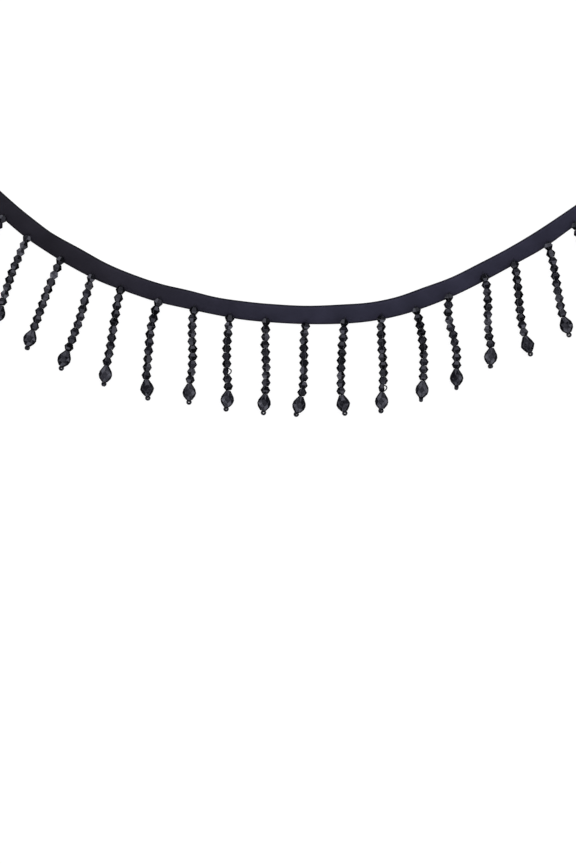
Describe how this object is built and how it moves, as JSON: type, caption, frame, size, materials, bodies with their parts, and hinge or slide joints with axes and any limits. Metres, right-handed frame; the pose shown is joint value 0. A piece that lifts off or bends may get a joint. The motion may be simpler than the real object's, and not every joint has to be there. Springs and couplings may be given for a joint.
{
  "type": "beaded fringe trim",
  "caption": "Narrow black ribbon tape laid in a shallow bow, with a fringe of short strands of faceted beads that end in drops sewn along its outer edge.",
  "frame": {"origin": "on the back of the tape, in the middle of its length and width", "axes": "+X along the tape, +Z out of the face that shows, +Y away from the fringe"},
  "size_m": [0.3488, 0.1268, 0.0057],
  "materials": {
    "ribbon": "black woven ribbon with a soft, low sheen",
    "beads": "glossy black faceted beads on black thread"
  },
  "bodies": {
    "root": {"ribbon_tape": "ribbon", "bead_fringe": "beads"}
  },
  "joints": []
}
